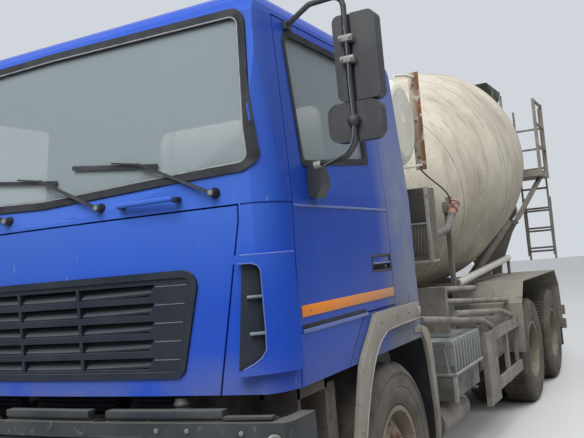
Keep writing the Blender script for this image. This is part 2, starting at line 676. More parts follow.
cabShape = {
    "front": 4.469,
    "bow": 10.6,
    "half": 1.215,
    "corner": 0.25,
    "kinkFoot": 1.960,
    "kinkTall": 0.1,
    "kinkLean": 0.26,
    "screenFoot": 2.060,
    "screenLean": 0.159,
    "roofFoot": 2.79,
    "roofArc": (4.139, 2.755, 0.18),
    "belt": 2.0,
    "sideLean": 0.0683,
}


def cabFront(y, z, shape=cabShape):
    # How far forward the cab's face lies at this width and height
    lean = shape["kinkLean"] * min(max(z - shape["kinkFoot"], 0), shape["kinkTall"])
    lean += shape["screenLean"] * max(z - shape["screenFoot"], 0)
    past = abs(y) - (shape["half"] - shape["corner"])
    rounding = shape["corner"] - math.sqrt(shape["corner"] ** 2 - past ** 2) if past > 0 else 0
    x = shape["front"] - max(lean, y * y / (2 * shape["bow"]), rounding)
    middleX, middleZ, radius = shape["roofArc"]
    if z > shape["roofFoot"]:
        x = min(x, middleX + math.sqrt(radius ** 2 - (z - middleZ) ** 2))
    return x


def cabSide(z, shape=cabShape):
    return shape["half"] - max(z - shape["belt"], 0) * shape["sideLean"]


def arcPoints(middle, radius, first, last, count=6):
    angles = [math.radians(first + (last - first) * i / count) for i in range(count + 1)]
    return [(middle[0] + radius * math.cos(a), middle[1] + radius * math.sin(a)) for a in angles]


def between(a, b, count):
    return [(a[0] + (b[0] - a[0]) * i / count, a[1] + (b[1] - a[1]) * i / count) for i in range(1, count)]


# Rubber round the windscreen, the door windows and the rear window

windscreen = {
    "lowCorner": ((1.085, 2.160), 0.065, (-82, -8)),
    "highCorner": ((1.045, 2.725), 0.070, (3, 86)),
    "sill": 2.052,
    "head": 2.812,
    "stepsAcross": 7,
    "stepsUp": 5,
    "outside": 0.016,
    "inside": -0.026,
    "innerDepth": 0.005,
    "thick": 0.020,
    "beadInset": 0.002,
    "beadProud": 0.005,
    "beadRadius": 0.0035,
}
doorWindow = {
    "corners": [((4.050, 2.124), (1, -1)), ((4.0625, 2.7075), (1, 0.5)), ((4.0135, 2.757), (0.5, 1)),
                ((3.185, 2.757), (-1, 1)), ((3.229, 2.196), (-1, -1))],
    "rounding": 0.022,
    "outside": 0.013,
    "inside": -0.017,
    "outerDepth": 0.006,
    "innerDepth": 0.010,
    "thick": 0.022,
}
rearWindow = {
    "corners": ((0.62, 2.64, 0), (-0.62, 2.64, 90), (-0.62, 2.26, 180), (0.62, 2.26, 270)),
    "radius": 0.095,
    "middle": (0, 2.45),
    "inside": 0.93,
    "outerX": 2.598,
    "innerX": 2.600,
    "thick": 0.018,
}


def screenOutline(grow, shape=windscreen):
    low, high = (arcPoints(middle, radius + grow, *bearings)
                 for middle, radius, bearings in (shape["lowCorner"], shape["highCorner"]))
    sill, head = (0, shape["sill"] - grow), (0, shape["head"] + grow)
    half = (between(sill, low[0], shape["stepsAcross"]) + low + between(low[-1], high[0], shape["stepsUp"])
            + high + between(high[-1], head, shape["stepsAcross"]))
    return [sill] + half + [head] + [(-y, z) for y, z in reversed(half)]


def onFront(outline, depth):
    return [(cabFront(y, z) - depth, y, z) for y, z in outline]


def windowOutline(grow, shape=doorWindow):
    corners = [(x + ahead * grow, z + up * grow) for (x, z), (ahead, up) in shape["corners"]]
    points = []
    for i, corner in enumerate(corners):
        before, after = Vector(corners[i - 1]), Vector(corners[(i + 1) % len(corners)])
        here = Vector(corner)
        a = here + (before - here).normalized() * shape["rounding"]
        b = here + (after - here).normalized() * shape["rounding"]
        points += [tuple(a), tuple((a + b + 2 * here) / 4), tuple(b)]
    return points


def onSide(outline, depth):
    return [(x, cabSide(z) - depth, z) for x, z in outline]


settle(band("screenGasket", onFront(screenOutline(windscreen["outside"]), 0),
            onFront(screenOutline(windscreen["inside"]), windscreen["innerDepth"]), windscreen["thick"]),
       "cab", "rubberSeal", 50)
bead = onFront(screenOutline(windscreen["inside"] + windscreen["beadInset"]), -windscreen["beadProud"])
settle(pipe("screenBead", bead, windscreen["beadRadius"], 2, loop=True), "cab", "beadGrey")
pair(band("windowGasketLeft", onSide(windowOutline(doorWindow["outside"]), doorWindow["outerDepth"]),
          onSide(windowOutline(doorWindow["inside"]), doorWindow["innerDepth"]), doorWindow["thick"]),
     "door_left", "rubberSeal", 50)
rearOutline = []
for y, z, first in rearWindow["corners"]:
    rearOutline += arcPoints((y, z), rearWindow["radius"], first, first + 90)
rearMiddle = Vector(rearWindow["middle"])
rearInner = [tuple(rearMiddle + (Vector(p) - rearMiddle) * rearWindow["inside"]) for p in rearOutline]
settle(band("rearWindowGasket", [(rearWindow["outerX"], y, z) for y, z in rearOutline],
            [(rearWindow["innerX"], y, z) for y, z in rearInner], rearWindow["thick"]),
       "cab", "rubberSeal", 50)
print("window rubbers made")

# Door trim: reflective stripe, creases and the handle in its recess
# Each plate has its low and high corner, bevel, bevel steps, material and smoothing angle

doorPlates = {
    "stripeLeft": ((3.030, 1.2135, 1.440), (4.206, 1.2185, 1.490), 0.0012, 2, "stripeOrange", 35),
    "creaseShadowLeft": ((3.470, 1.2140, 1.388), (4.212, 1.2165, 1.408), 0.0008, 2, "rubberSeal", 35),
    "lowerCreaseLeft": ((3.455, 1.2130, 1.370), (4.214, 1.2225, 1.388), 0.004, 3, "creasePaint", 60),
    "beltCreaseLeft": ((3.030, 1.2110, 1.926), (4.192, 1.2200, 1.938), 0.004, 3, "creasePaint", 60),
    "handleGripLeft": ((3.050, 1.1940, 1.641), (3.300, 1.2120, 1.671), 0.005, 3, "cabBlue", 60),
    "handleBarLeft": ((3.041, 1.1950, 1.630), (3.312, 1.2185, 1.641), 0.004, 3, "creasePaint", 60),
    "handleWellLeft": ((3.041, 1.1935, 1.598), (3.312, 1.1955, 1.632), 0.0008, 2, "gapBlack", 35),
}
handle = {
    "frameOuter": [(3.030, 1.215, 1.588), (3.321, 1.215, 1.588), (3.321, 1.215, 1.683),
                   (3.030, 1.215, 1.683)],
    "frameInner": [(3.043, 1.212, 1.600), (3.308, 1.212, 1.600), (3.308, 1.212, 1.671),
                   (3.043, 1.212, 1.671)],
    "frameThick": 0.006,
    "lock": [(0, 0), (0.012, 0), (0.012, 0.006), (0.009, 0.009), (0, 0.009)],
    "lockPlace": (3.085, 1.195, 1.613),
}
for name, (low, high, bevel, segments, material, angle) in doorPlates.items():
    pair(block(name, low, high, bevel, segments), "door_left", material, angle)
pair(band("handleFrameLeft", handle["frameOuter"], handle["frameInner"], handle["frameThick"]),
     "door_left", "blackPlastic", 30)
pair(turned("keyLockLeft", handle["lock"], handle["lockPlace"], (0, 1, 0), 20), "door_left", "zincSteel", 30)
print("door trim made")

# Grab handle under the windscreen

grab = {
    "bar": ((4.474, 0.484, 1.988), (4.508, 0.790, 2.010)),
    "footX": (4.440, 4.482),
    "footY": (0.474, 0.770),
    "footZ": (1.984, 2.006),
    "footWide": 0.030,
}
settle(block("grabHandle", *grab["bar"], 0.009, 4), "cab", "cabBlue", 60)
feet = [block("grabFoot", (grab["footX"][0], y, grab["footZ"][0]),
              (grab["footX"][1], y + grab["footWide"], grab["footZ"][1]), 0.006, 3) for y in grab["footY"]]
settle(joined("grabFeet", feet), "cab", "gapBlack", 50)

# Wiper spindles: rubber boots and end nuts

wiper = {
    "places": (0.965, 0.364, -0.222),
    "height": 2.004,
    "boot": [(0.0165, 0), (0.024, 0), (0.024, 0.004), (0.019, 0.010), (0.018, 0.018), (0.0165, 0.018)],
    "bootSunk": 0.001,
    "cap": [(0, -0.012), (0.013, -0.012), (0.013, 0.001), (0.010, 0.006), (0, 0.007)],
    "capOut": 0.040,
}
boots, nuts = [], []
for y in wiper["places"]:
    x, z = cabFront(y, wiper["height"]), wiper["height"]
    boots.append(turned("wiperBoot", wiper["boot"], (x - wiper["bootSunk"], y, z), (1, 0, 0), 24))
    nuts.append(turned("wiperCap", wiper["cap"], (x + wiper["capOut"], y, z), (1, 0, 0), 24))
settle(joined("wiperBoots", boots), "cab", "rubberSeal", 40)
settle(joined("wiperCaps", nuts), "cab", "zincSteel", 40)
print("belt trim made")

# Corner deflectors: dark floor and fins in the air channel, with pale edges round it

deflector = {
    "axis": (4.219, 0.965),
    "floorRadius": 0.2512,
    "floorThick": 0.0028,
    "floorHeights": (1.244, 1.40, 1.55, 1.70),
    "floorSteps": 14,
    "firstBearing": 15.5,
    "bearingRise": 24.0,
    "lastBearing": 74.0,
    "fins": (1.3985, 1.5495),
    "finThick": 0.012,
    "finOut": (0.031, 0.034),
    "finBearing": 29,
    "finSweep": 22,
    "vane": 0.286,
    "opening": [(1.070, 1.262), (1.110, 1.282), (1.138, 1.304), (1.155, 1.335), (1.157, 1.400),
                (1.157, 1.660), (1.149, 1.682), (1.127, 1.694), (1.080, 1.694)],
    "rimRadius": 0.0028,
    "foldHeight": 1.7285,
    "foldInset": 0.003,
    "foldBearings": range(26, 78, 3),
    "foldRadius": 0.0035,
}
middleX, middleY = deflector["axis"]


def onDeflector(radius, bearing, z):
    angle = math.radians(bearing)
    return (middleX + radius * math.cos(angle), middleY + radius * math.sin(angle), z)


floorRows = []
for step in range(deflector["floorSteps"] + 1):
    row = []
    for z in deflector["floorHeights"]:
        first = deflector["firstBearing"] + deflector["bearingRise"] * (z - deflector["floorHeights"][0])
        bearing = first + (deflector["lastBearing"] - first) * step / deflector["floorSteps"]
        row.append(onDeflector(deflector["floorRadius"] + deflector["floorThick"] / 2, bearing, z))
    floorRows.append(row)
pair(sheetOf("deflectorFloorLeft", floorRows, deflector["floorThick"]), "cab", "slatePlastic")
rim = [(middleX + math.sqrt(deflector["vane"] ** 2 - (y - middleY) ** 2), y, z)
       for y, z in deflector["opening"]]
pair(pipe("deflectorRimLeft", rim, deflector["rimRadius"], 2), "cab", "creasePaint", 60)
fold = [onDeflector(deflector["vane"] - deflector["foldInset"], bearing, deflector["foldHeight"])
        for bearing in deflector["foldBearings"]]
pair(pipe("deflectorFoldLeft", fold, deflector["foldRadius"], 2), "cab", "creasePaint", 60)
finFoot = deflector["floorRadius"]
finShoulder, finNose = (finFoot + out for out in deflector["finOut"])
finAngle = math.radians(deflector["finBearing"])
for number, z in enumerate(deflector["fins"]):
    top = z + deflector["finThick"]
    profile = [(finFoot, z), (finShoulder, z), (finNose, z + deflector["finThick"] / 2), (finShoulder, top),
               (finFoot, top)]
    fin = turned("deflectorFin%dLeft" % number, profile, (middleX, middleY, 0), (0, 0, 1), 10,
                 (math.cos(finAngle), math.sin(finAngle), 0), deflector["finSweep"])
    pair(fin, "cab", "slatePale")
print("deflector insets made")

# Mirrors: glass, clamps and a heater lead along the arm

mirror = {
    "tallGlass": ((3.9475, 1.420, 2.400), (3.9512, 1.585, 2.745)),
    "wideGlass": ((3.9630, 1.360, 2.216), (3.9672, 1.578, 2.352)),
    "clampLow": (4.004, 1.435),
    "clampHigh": (4.055, 1.505),
    "clampZ": (2.542, 2.637),
    "clampTall": 0.032,
    "boltX": 4.057,
    "boltY": (1.446, 1.494),
    "lead": [(4.052, 1.470, 2.71), (4.054, 1.478, 2.60), (4.052, 1.466, 2.45), (4.053, 1.476, 2.33),
             (4.050, 1.468, 2.20), (4.045, 1.430, 2.140), (4.028, 1.300, 2.108), (4.020, 1.262, 2.090)],
    "leadRadius": 0.0024,
    "strap": [(0.013, -0.016), (0.021, -0.016), (0.021, 0.016), (0.013, 0.016)],
    "strapPlace": (4.020, 1.268, 2.112),
    "strapAxis": (-0.2, 0.98, 0.10),
}
for kind in ("tall", "wide"):
    pair(block(kind + "MirrorGlassLeft", *mirror[kind + "Glass"], 0.0012), "door_left", "mirrorFace")
clamps = [block("mirrorClampsLeft", (*mirror["clampLow"], z),
                (*mirror["clampHigh"], z + mirror["clampTall"]), 0.006, 3) for z in mirror["clampZ"]]
clampBolts = [(mirror["boltX"], y, z + mirror["clampTall"] / 2)
              for z in mirror["clampZ"] for y in mirror["boltY"]]
clamps.append(boltSet("clampBolts", clampBolts, (1, 0, 0), 0.007, 0.008))
pair(joined("mirrorClampsLeft", clamps), "door_left", "zincSteel", 40)
pair(pipe("mirrorLeadLeft", mirror["lead"], mirror["leadRadius"], 2, soft=True), "door_left", "leadPale", 60)
pair(turned("armClampLeft", mirror["strap"], mirror["strapPlace"], mirror["strapAxis"], 20),
     "door_left", "zincSteel", 40)
print("mirror details made")

# Wheel arch band, with its liner, lip, marker lamp and bolts

arch = {
    "outer": [(2.690, 1.376), (3.400, 1.376), (3.497, 1.286), (3.612, 1.189), (3.656, 1.138), (3.700, 1.036),
              (3.746, 0.923), (3.790, 0.810), (3.838, 0.620), (3.852, 0.430)],
    "inner": [(3.752, 0.430), (3.735, 0.620), (3.691, 0.800), (3.648, 0.901), (3.585, 1.014), (3.513, 1.116),
              (3.463, 1.167), (3.381, 1.228), (3.272, 1.269), (3.150, 1.275), (2.690, 1.280)],
    "skin": (1.217, 1.249),
    "liner": (0.930, 1.225),
    "linerThick": 0.007,
    "crown": 1.2,
    "crownDrift": 0.2,
    "legDrift": 0.4,
    "lipY": 1.247,
    "lipRadius": 0.006,
    "marker": ((2.699, 1.247, 1.298), (2.757, 1.256, 1.352)),
    "markerLens": ((2.705, 1.254, 1.304), (2.751, 1.262, 1.346)),
    "bolts": [(3.35, 1.250, 1.325), (3.10, 1.250, 1.330), (2.90, 1.250, 1.330), (3.74, 1.250, 0.84),
              (3.80, 1.250, 0.50)],
}


def linerBack(x, z):
    # The liner's far side: raised over the crown and moved forward down the leg
    thick = arch["linerThick"]
    if z > arch["crown"]:
        return x - thick * arch["crownDrift"], z + thick
    return x + thick, z + thick * arch["legDrift"]


bandLeft = plank("archBandLeft", arch["outer"] + arch["inner"], *arch["skin"], 0.004, "y")
linerOutline = arch["inner"] + [linerBack(x, z) for x, z in reversed(arch["inner"])]
linerLeft = plank("archLinerLeft", linerOutline, *arch["liner"], 0, "y")
lipLeft = pipe("archLipLeft", [(x, arch["lipY"], z) for x, z in arch["inner"]], arch["lipRadius"], 2)
bandRight = opposite(bandLeft)
pair(linerLeft, "cab", "wellBrown", 40)
pair(lipLeft, "cab", "edgePale", 60)
settle(bandLeft, "cab", "fenderDust", 40)
settle(bandRight, "cab", "fenderDust", 40)
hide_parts("cab_fenders")

# Step well behind the arch, with bars on its two treads

well = {
    "plates": [((3.885, 0.960, 0.430), (4.195, 0.985, 1.140)), ((3.885, 0.960, 0.430), (3.915, 1.150, 1.140)),
               ((4.165, 0.960, 0.430), (4.195, 1.150, 1.140)), ((3.800, 1.135, 0.430), (3.886, 1.149, 1.100)),
               ((3.885, 0.960, 0.430), (4.195, 1.150, 0.480)), ((3.885, 0.960, 0.740), (4.195, 1.150, 0.780)),
               ((3.885, 0.960, 1.080), (4.195, 1.150, 1.140))],
    "barX": 3.925,
    "barY": (0.990, 1.140),
    "barWide": 0.012,
    "barTall": 0.008,
    "barPitch": 0.031,
    "barCount": 8,
    "treadTop": (0.480, 0.780),
}
stepParts = [block("step", *plate, 0.003) for plate in well["plates"]]
for z in well["treadTop"]:
    first = block("stepBar", (well["barX"], well["barY"][0], z),
                  (well["barX"] + well["barWide"], well["barY"][1], z + well["barTall"]), 0.002)
    stepParts += [first] + [copied(first, (well["barPitch"] * i, 0, 0)) for i in range(1, well["barCount"])]
pair(joined("stepWellLeft", stepParts), "cab", "wellBrown", 40)

# Mudguard behind the front wheel, with its liner and stay

guard = {
    "outer": [(2.746, 1.226), (2.600, 1.224), (2.500, 1.196), (2.450, 1.135), (2.431, 1.090), (2.411, 0.952),
              (2.398, 0.787), (2.394, 0.624), (2.412, 0.520), (2.440, 0.450)],
    "inner": [(2.470, 0.450), (2.452, 0.560), (2.452, 0.690), (2.480, 0.860), (2.505, 1.000), (2.545, 1.110),
              (2.603, 1.178), (2.746, 1.192)],
    "skin": (1.196, 1.224),
    "liner": (0.960, 1.200),
    "linerDrift": (-0.010, 0.004),
    "stay": ((2.455, 0.4303, 0.870), (2.505, 0.975, 0.905)),
}
driftX, driftZ = guard["linerDrift"]
guardBand = plank("mudguardLeft", guard["outer"] + guard["inner"], *guard["skin"], 0.004, "y")
guardLiner = plank("mudguardLinerLeft", guard["inner"] + [(x + driftX, z + driftZ) for x, z in
                                                          reversed(guard["inner"])], *guard["liner"], 0, "y")
guardStay = block("mudguardStayLeft", *guard["stay"], 0.005)
stayRight = opposite(guardStay)
pair(guardLiner, "chassis", "gapBlack", 40)
settle(guardStay, "chassis", "frameBlack")
settle(stayRight, "chassis", "frameBlack")
guardRight = opposite(guardBand)
settle(guardBand, "chassis", "fenderDust", 40)
settle(guardRight, "chassis", "fenderDust", 40)
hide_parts("mudguards")
markers = [block("archMarkerLeft", *arch["marker"], 0.005, 3)]
markers.append(block("archMarkerLens", *arch["markerLens"], 0.004, 3))
pair(joined("archMarkerLeft", markers), "cab", "lampRose", 50)
pair(boltSet("archBoltsLeft", arch["bolts"], (0, 1, 0), 0.009, 0.008), "cab", "fenderDust", 30)
print("wheel arches made")

# Bumper: its front line, and strips that follow it
# A strip's layer has its two depths behind that line, its low and high edge and its bevel

bumper = {
    "reach": 4.555,
    "bow": 9.0,
    "cornerRadius": 0.17,
    "corner": 1.25,
    "ledgeSpans": ((-0.258, 0.258), (0.356, 0.945)),
    "ledgeLayers": ((0.036, 0.068, 1.046, 1.066, 0.003), (0.022, 0.074, 1.064, 1.098, 0.005)),
    "outerSpan": (0.945, 1.165),
    "outerLayers": ((0.036, 0.068, 1.046, 1.058, 0.003), (0.022, 0.058, 1.057, 1.072, 0.003)),
    "ribHalf": 0.555,
    "ribDepths": (0.012, 0.030),
    "highRibs": (0.945, 0.963),
    "highRibTall": 0.010,
    "lowRibs": (0.590, 0.622, 0.654, 0.684),
    "lowRibTall": 0.012,
    "backs": [((4.455, -0.255, 0.915), (4.466, 0.255, 1.005)), ((4.455, 0.36, 0.915), (4.466, 0.60, 1.005)),
              ((4.455, -0.60, 0.915), (4.466, -0.36, 1.005)), ((4.455, -0.60, 0.54), (4.466, 0.60, 0.715))],
    "frameHeights": ((0.922, 0.993), (0.552, 0.708)),
    "frameSpan": (0.270, 0.568),
    "frameEnd": (0.560, 0.568),
    "frameDepths": (-0.003, 0.010),
    "frameWide": 0.008,
}


def bumperFront(y, inset):
    x = bumper["reach"] - inset - y * y / (2 * bumper["bow"])
    past = abs(y) - (bumper["corner"] - inset - bumper["cornerRadius"])
    if past > 0:
        reach = bumper["reach"] - inset - bumper["cornerRadius"]
        x = min(x, reach + math.sqrt(max(bumper["cornerRadius"] ** 2 - past ** 2, 0)))
    return x


def bumperStrip(name, y0, y1, out, back, low, high, bevel=0.003, count=10):
    ys = [y0 + (y1 - y0) * i / count for i in range(count + 1)]
    outline = [(bumperFront(y, out), y) for y in ys] + [(bumperFront(y, back), y) for y in reversed(ys)]
    return plank(name, outline, low, high, bevel)


ledges = [bumperStrip("ledge", *span, *layer)
          for span in bumper["ledgeSpans"] for layer in bumper["ledgeLayers"]]
ledges += [bumperStrip("ledge", *bumper["outerSpan"], *layer) for layer in bumper["outerLayers"]]
ledges += [opposite(part) for part in ledges[2:]]  # All but the middle span's two layers
settle(joined("bumperLedge", ledges), "chassis", "bumperPlastic", 40)
ribs = []
for heights, tall in ((bumper["highRibs"], bumper["highRibTall"]), (bumper["lowRibs"], bumper["lowRibTall"])):
    ribs += [bumperStrip("rib", -bumper["ribHalf"], bumper["ribHalf"], *bumper["ribDepths"], z, z + tall,
                         0.002) for z in heights]
settle(joined("bumperLouvres", ribs), "chassis", "slatePlastic", 40)
settle(joined("bumperBacking", [block("back", *back) for back in bumper["backs"]]), "chassis", "gapBlack")
frames = []
for low, high in bumper["frameHeights"]:
    for z in (low, high - bumper["frameWide"]):
        frames.append(bumperStrip("frame", *bumper["frameSpan"], *bumper["frameDepths"], z,
                                  z + bumper["frameWide"], 0.002))
    frames.append(bumperStrip("frame", *bumper["frameEnd"], *bumper["frameDepths"], low, high, 0.002, 1))
frames += [opposite(part) for part in frames]
settle(joined("bumperFrames", frames), "chassis", "bumperPlastic", 40)

# On and behind the bumper: the cab's rubber springs, radiator bars, bolts, caps, towing pins, lamp bowls

nose = {
    "springSeat": ((4.350, 0.650, 1.030), (4.492, 0.730, 1.046)),
    "bellows": [(0, 0), (0.034, 0), (0.040, 0.008), (0.040, 0.014), (0.031, 0.022), (0.042, 0.032),
                (0.042, 0.040), (0.031, 0.049), (0.040, 0.059), (0.040, 0.066), (0.033, 0.074),
                (0.031, 0.090), (0, 0.090)],
    "bellowsPlace": (4.400, 0.690, 1.045),
    "barSpans": ((-0.250, 0.250), (0.362, 0.600), (-0.600, -0.362)),
    "barHeights": (1.074, 1.098, 1.122),
    "barX": (4.300, 4.335),
    "barTall": 0.012,
    "barBackX": (4.285, 4.300),
    "barBackZ": (1.046, 1.142),
    "bolts": ((0.640, 1.020), (0.790, 1.020), (1.040, 1.010), (0.640, 0.500), (1.040, 0.500)),
    "boltOut": 0.002,
    "cap": [(0, 0), (0.036, 0), (0.036, 0.006), (0.030, 0.010), (0.024, 0.006), (0, 0.006)],
    "capPlace": (4.497, 1.188, 0.975),
    "capAxis": (0.66, 0.75, 0),
    "pin": [(0, 0.742), (0.013, 0.742), (0.013, 0.862), (0.020, 0.862), (0.020, 0.872), (0, 0.872)],
    "pinX": 4.520,
    "pinY": (-0.150, 0.150),
    "bowl": [(0, 0.004), (0.022, 0.006), (0.045, 0.016), (0.066, 0.036), (0.070, 0.036), (0.070, 0.040),
             (0.064, 0.040), (0.045, 0.022), (0.022, 0.012), (0, 0.010)],
    "bulb": [(0, 0.008), (0.010, 0.008), (0.012, 0.020), (0.009, 0.029), (0, 0.032)],
    "lamps": ((0.80, 0.010), (0.98, 0.016)),
    "bowlBack": 0.052,
    "lampHeight": 0.81,
}
spring = [block("springSeat", *nose["springSeat"], 0.004),
          turned("bellows", nose["bellows"], nose["bellowsPlace"], (0, 0, 1), 32)]
pair(joined("cabSpringLeft", spring), "chassis", "bellowsRubber", 50)
bars = []
for y0, y1 in nose["barSpans"]:
    bars += [block("bar", (nose["barX"][0], y0, z), (nose["barX"][1], y1, z + nose["barTall"]), 0.002)
             for z in nose["barHeights"]]
    bars.append(block("bar", (nose["barBackX"][0], y0, nose["barBackZ"][0]),
                      (nose["barBackX"][1], y1, nose["barBackZ"][1]), 0.002))
settle(joined("radiatorBars", bars), "chassis", "slatePlastic")
boltPlaces = [(bumperFront(y, -nose["boltOut"]), y, z) for y, z in nose["bolts"]]
pair(boltSet("bumperBoltsLeft", boltPlaces, (1, 0, 0), 0.011, 0.009), "chassis", "zincSteel", 30)
pair(turned("bumperCapLeft", nose["cap"], nose["capPlace"], nose["capAxis"], 28), "chassis", "zincSteel", 40)
pins = [turned("pin", nose["pin"], (nose["pinX"], y, 0), (0, 0, 1), 20) for y in nose["pinY"]]
settle(joined("towPins", pins), "chassis", "zincSteel", 40)
lampPlaces = [(bumperFront(y, inset) - nose["bowlBack"], y, nose["lampHeight"]) for y, inset in nose["lamps"]]
bowls = [turned("bowl", nose["bowl"], place, (1, 0, 0), 36) for place in lampPlaces]
bowls += [turned("bulb", nose["bulb"], place, (1, 0, 0), 20) for place in lampPlaces]
pair(joined("lampBowlsLeft", bowls), "chassis", "mirrorFace", 50)
print("bumper details made")

# Drum: weld seams, and mixing blades in its mouth

drum = {
    "front": (1.184, 0.0, 1.960),
    "axis": (-0.97398, 0.0, 0.22665),
    "seams": ((1.043, 0.956), (2.120, 1.162), (3.249, 1.162)),
    "seamProfile": ((-0.006, -0.014), (0.0015, -0.007), (0.0025, 0), (0.0015, 0.007), (-0.006, 0.014)),
    "wallFrom": (3.890, 0.930),
    "wallTo": (4.900, 0.586),
}
blades = {
    "start": 4.12,
    "end": 4.86,
    "clear": 0.004,
    "deep": 0.20,
    "turns": 0.62,
    "steps": 26,
    "thick": 0.008,
}
for number, (s, radius) in enumerate(drum["seams"]):
    seam = turned("drumSeam%d" % number, [(radius + out, s + shift) for out, shift in drum["seamProfile"]],
                  drum["front"], drum["axis"], 128)
    settle(seam, "drum", "seamCream", 60)


def drumInside(s):
    # The drum wall's inner radius behind the running ring
    (startS, startRadius), (endS, endRadius) = drum["wallFrom"], drum["wallTo"]
    return startRadius + (endRadius - startRadius) * (s - startS) / (endS - startS)


along = Vector(drum["axis"])
across = along.orthogonal().normalized()
second = along.cross(across)
bladeParts = []
for phase in (0, math.pi):
    outer, inner = [], []
    for i in range(blades["steps"] + 1):
        share = i / blades["steps"]
        s = blades["start"] + (blades["end"] - blades["start"]) * share
        angle = phase + math.tau * blades["turns"] * share
        way = across * math.cos(angle) + second * math.sin(angle)
        outer.append(Vector(drum["front"]) + along * s + way * (drumInside(s) - blades["clear"]))
        inner.append(Vector(drum["front"]) + along * s + way * (drumInside(s) - blades["deep"]))
    bladeParts.append(sheetOf("blade", [outer, inner], blades["thick"]))
settle(joined("mixingBlades", bladeParts), "drum", "chuteCement", 40)
print("drum details made")

# Water tank: bracket rods and bolts, filler and gauge

tankTrim = {
    "rods": [[(1.540, 1.000, 3.020), (1.700, 0.985, 3.010), (1.870, 0.955, 2.980)],
             [(1.540, 1.000, 2.335), (1.700, 0.985, 2.315), (1.900, 0.940, 2.290)]],
    "rodRadius": 0.011,
    "bolts": [(1.545, 0.99, 2.40), (1.545, 0.99, 2.68), (1.545, 0.99, 2.96)],
    "filler": [(0, 0), (0.070, 0), (0.070, 0.020), (0.062, 0.026), (0.062, 0.040), (0.052, 0.046),
               (0, 0.046)],
    "fillerPlace": (1.875, 0.0, 2.945),
    "gauge": [(2.195, 0.60, 2.50), (2.212, 0.60, 2.52), (2.212, 0.60, 2.76), (2.190, 0.60, 2.78)],
    "gaugeRadius": 0.008,
}
rods = [pipe("rod", points, tankTrim["rodRadius"]) for points in tankTrim["rods"]]
pair(joined("bracketRodsLeft", rods), "chassis", "tankCream", 60)
pair(boltSet("bracketBoltsLeft", tankTrim["bolts"], (1, 0, 0), 0.012, 0.010), "chassis", "nutSteel", 30)
settle(turned("tankFiller", tankTrim["filler"], tankTrim["fillerPlace"], (0, 0, 1), 36),
       "chassis", "tankCream", 40)
settle(pipe("tankGauge", tankTrim["gauge"], tankTrim["gaugeRadius"]), "chassis", "leadPale", 60)

# Oil cooler: slanted fins, frame and box

cooler = {
    "finX": (1.654, 1.668),
    "finY": (0.580, 1.034),
    "finZ": (1.645, 1.878),
    "finWide": 0.008,
    "count": 19,
    "lean": 0.030,
    "frame": [((1.668, 1.034, 1.600), (1.682, 1.063, 2.155), 0.004),
              ((1.660, 0.560, 1.876), (1.672, 1.040, 1.890), 0.003),
              ((1.500, 0.545, 1.588), (1.680, 1.062, 1.606), 0.003)],
    "box": ((1.502, 0.562, 1.892), (1.671, 1.0385, 2.152)),
    "boltX": 1.673,
    "boltY": (0.60, 1.00),
    "boltZ": (1.93, 2.11),
}
startY, endY = cooler["finY"]
lowZ, highZ = cooler["finZ"]
pitch = (endY - startY) / cooler["count"]
firstFin = plank("coolerFins", [(startY, lowZ), (startY + cooler["finWide"], lowZ),
                                (startY + cooler["finWide"] + cooler["lean"], highZ),
                                (startY + cooler["lean"], highZ)], *cooler["finX"], 0.001, "x")
fins = [firstFin] + [copied(firstFin, (0, pitch * i, 0)) for i in range(1, cooler["count"] - 1)]
settle(joined("coolerFins", fins), "chassis", "finGrey")
settle(joined("coolerFrame", [block("coolerBar", *bar) for bar in cooler["frame"]]),
       "chassis", "edgePale", 40)
box = [block("coolerBox", *cooler["box"], 0.010, 3),
       boltSet("coolerBolts", [(cooler["boltX"], y, z) for y in cooler["boltY"] for z in cooler["boltZ"]],
               (1, 0, 0), 0.009, 0.007)]
settle(joined("coolerBox", box), "chassis", "coolerDark", 40)

# Hydraulics: the hose's coupling and bands, and the valve with its stay and lead

hydraulics = {
    "coupling": [(0, -0.02), (0.036, -0.02), (0.036, 0.030), (0.046, 0.034), (0.046, 0.085), (0.038, 0.090),
                 (0.038, 0.105), (0.050, 0.110), (0.050, 0.125), (0, 0.125)],
    "couplingPlace": (0.805, 1.000, 1.980),
    "hoseWay": (-0.70, 0.05, 0.71),
    "valve": ((0.640, 0.900, 1.985), (0.745, 1.015, 2.085)),
    "valveCap": [(0, 0), (0.030, 0), (0.030, 0.035), (0.022, 0.042), (0, 0.042)],
    "valveCapPlace": (0.690, 0.955, 2.083),
    "valveStay": ((0.665, 0.905, 1.200), (0.715, 0.945, 1.995)),
    "lead": [(1.535, 0.975, 2.320), (1.420, 1.000, 2.250), (1.200, 1.020, 2.200), (1.000, 1.020, 2.150),
             (0.850, 1.010, 2.110), (0.790, 0.990, 2.060), (0.742, 0.975, 2.040)],
    "leadRadius": 0.006,
    "band": [(0.0302, -0.010), (0.0335, -0.010), (0.0335, 0.010), (0.0302, 0.010)],
    "bandPlaces": (((1.490, 0.840, 1.845), (1, 0, 0)), ((0.822, 0.999, 1.963), (-0.70, 0.05, 0.71))),
}
settle(turned("hoseCoupling", hydraulics["coupling"], hydraulics["couplingPlace"], hydraulics["hoseWay"], 32),
       "chassis", "couplingRose", 40)
valve = [block("valveBody", *hydraulics["valve"], 0.012, 3),
         turned("valveCap", hydraulics["valveCap"], hydraulics["valveCapPlace"], (0, 0, 1), 24),
         block("valveStay", *hydraulics["valveStay"], 0.006)]
settle(joined("hydraulicValve", valve), "chassis", "castDark", 40)
settle(pipe("valveLead", hydraulics["lead"], hydraulics["leadRadius"], 2, soft=True),
       "chassis", "gapBlack", 60)
hoseBands = [turned("hoseBand", hydraulics["band"], place, way, 28)
             for place, way in hydraulics["bandPlaces"]]
settle(joined("hoseBands", hoseBands), "chassis", "zincSteel", 40)
print("tank and hydraulics made")

# Battery cover ridges, strap and latch

